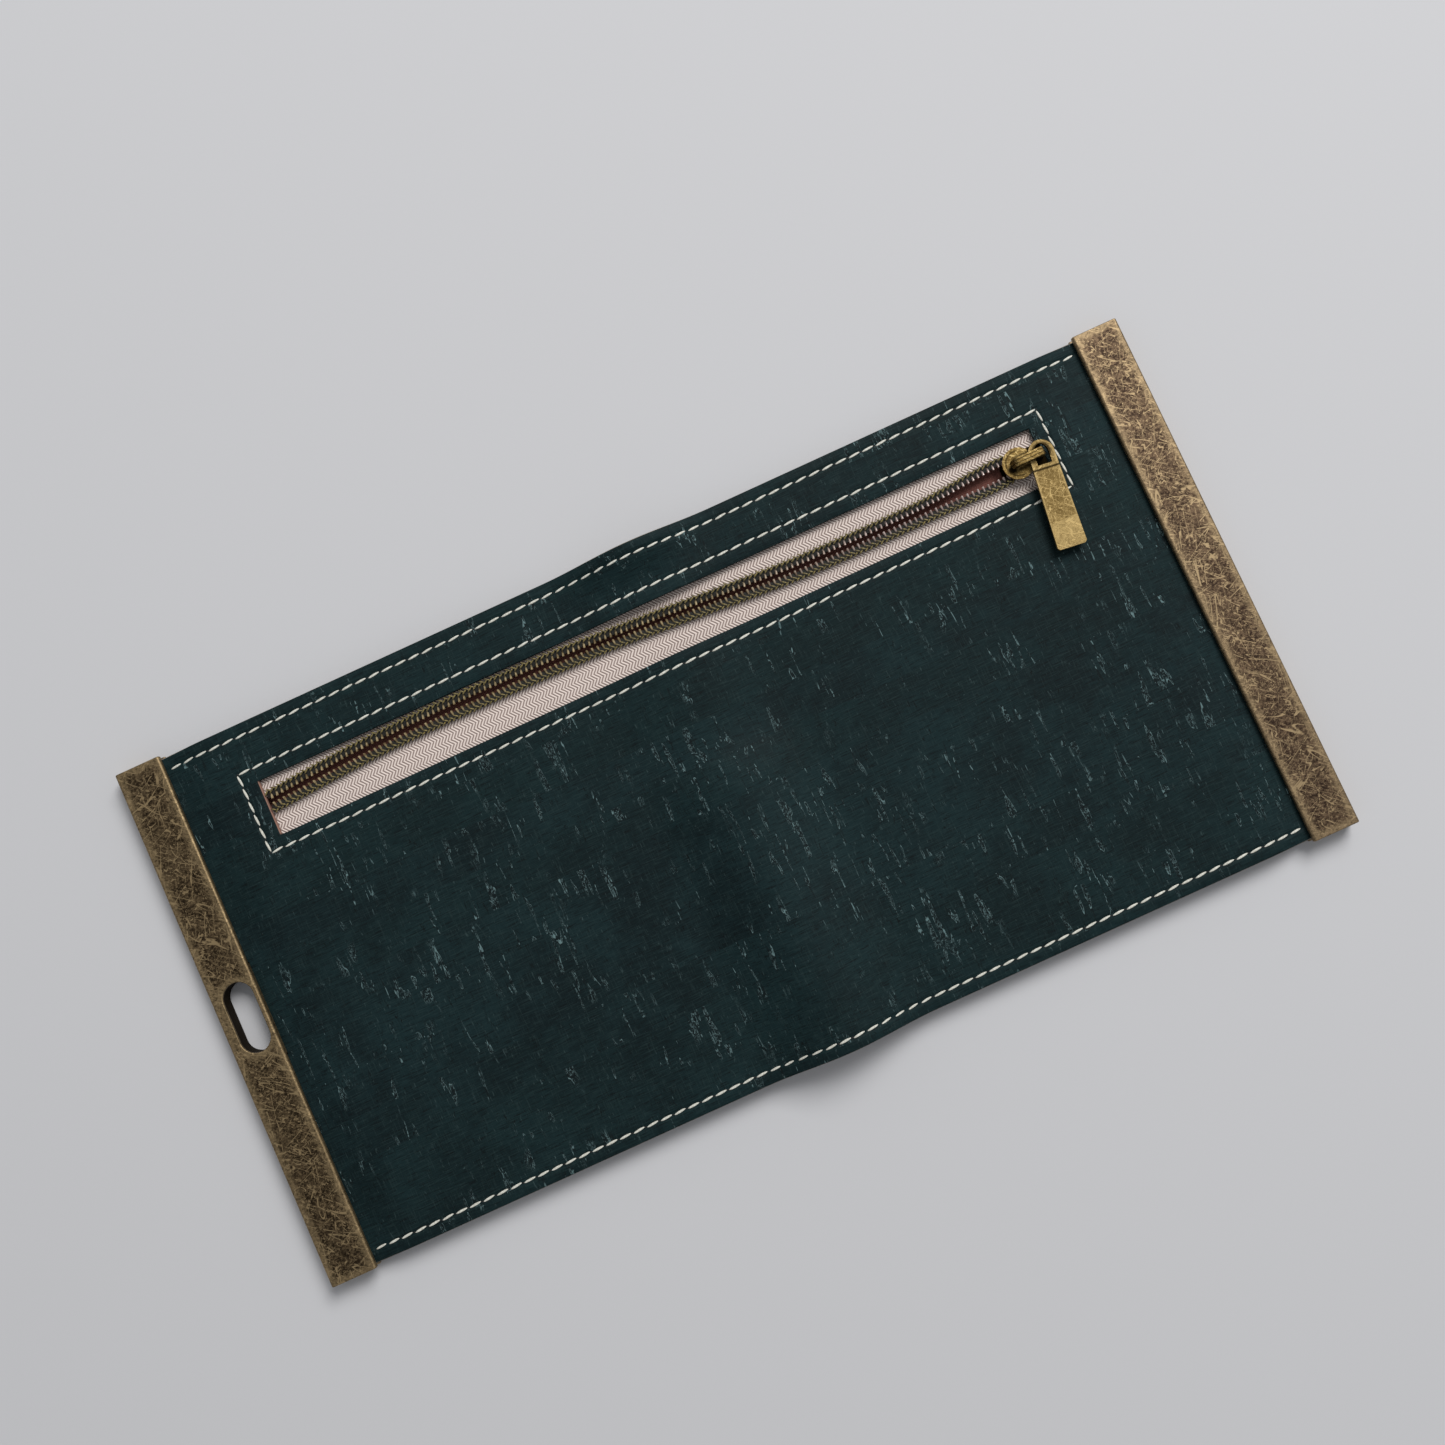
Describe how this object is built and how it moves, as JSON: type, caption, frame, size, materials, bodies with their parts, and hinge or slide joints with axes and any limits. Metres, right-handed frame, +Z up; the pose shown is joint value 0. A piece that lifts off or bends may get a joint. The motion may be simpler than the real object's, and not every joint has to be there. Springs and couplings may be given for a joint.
{
  "type": "cork wallet",
  "caption": "Bifold wallet of dark cork sheet with a metal bar on each end and a zipped pocket on its outer side, lying open.",
  "frame": {"origin": "middle of the wallet on the surface that its two bars rest on", "axes": "+X across the fold, from the slotted bar to the plain one; +Y along the fold towards the zip; +Z up from the outer side"},
  "size_m": [0.2032, 0.1016, 0.0082],
  "materials": {
    "cork": "dyed cork, matt",
    "inner_panel": "plain cloth",
    "pocket_lining": "plain cloth",
    "zip_tape": "herringbone tape",
    "zip_coil": "plastic coil with sewing thread",
    "aged_brass": "aged and scratched",
    "pull_brass": "aged brass plating"
  },
  "bodies": {
    "wallet": {"bar_left": "aged_brass", "bar_right": "aged_brass", "outer_panel": "cork", "inner_panel": "inner_panel", "pocket_lining": "pocket_lining", "card_pocket_left": "inner_panel", "card_pocket_right": "inner_panel", "zipper_tape_upper": "zip_tape", "zipper_tape_lower": "zip_tape", "zipper_coil_upper": "zip_coil", "zipper_coil_lower": "zip_coil"},
    "slider": {"slider_body": "pull_brass", "slider_bridge": "pull_brass"},
    "pull": {"pull_tab": "pull_brass"}
  },
  "joints": [
    {"name": "zip_slide", "type": "slide", "parent": "wallet", "child": "slider", "axis": [-1, 0, 0], "range_m": [0, 0.1472], "deforming": ["zipper_tape_upper", "zipper_tape_lower", "zipper_coil_upper", "zipper_coil_lower"]},
    {"name": "pull_swivel", "type": "hinge", "parent": "slider", "child": "pull", "pos_m": [0.0781, 0.0336, 0.006], "axis": [0, 0, 1], "range_deg": [-25, 180]}
  ]
}
